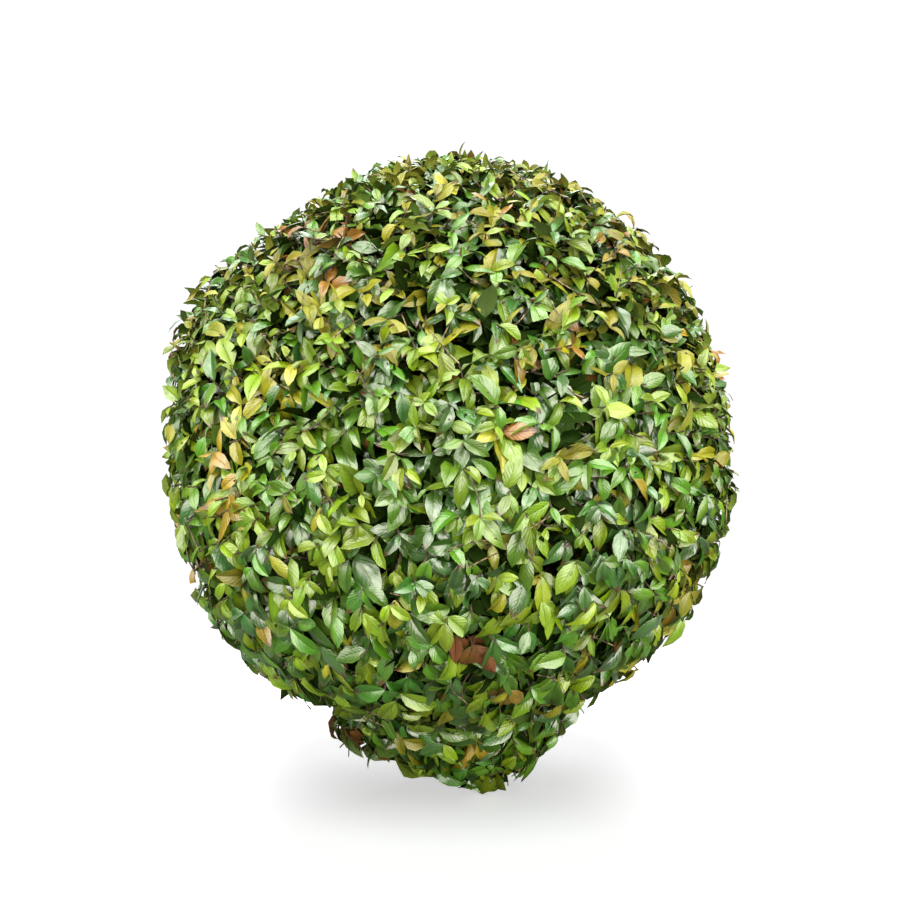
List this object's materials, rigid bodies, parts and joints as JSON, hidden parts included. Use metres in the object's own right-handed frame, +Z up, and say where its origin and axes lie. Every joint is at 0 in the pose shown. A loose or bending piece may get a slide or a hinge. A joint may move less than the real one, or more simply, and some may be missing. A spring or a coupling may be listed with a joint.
{
  "type": "clipped evergreen topiary ball",
  "caption": "Evergreen shrub clipped to a dense ball of glossy pointed leaves, full to the ground, on a short hidden stem with a flat cut at ground level.",
  "frame": {"origin": "middle of the flat cut under the stem, at ground level", "axes": "+Z up along the plant, -Y towards the side seen first, +X to the right of it"},
  "size_m": [0.8729, 0.8713, 0.9876],
  "materials": {
    "bark": "rough grey-brown bark",
    "crown_foliage": "glossy leaves, mid to yellow green, with some yellow and copper young leaves",
    "skirt_foliage": "glossy leaves, mid to deep green"
  },
  "bodies": {
    "root": {"stem": "bark", "crown": "crown_foliage", "skirt": "skirt_foliage"}
  },
  "joints": []
}
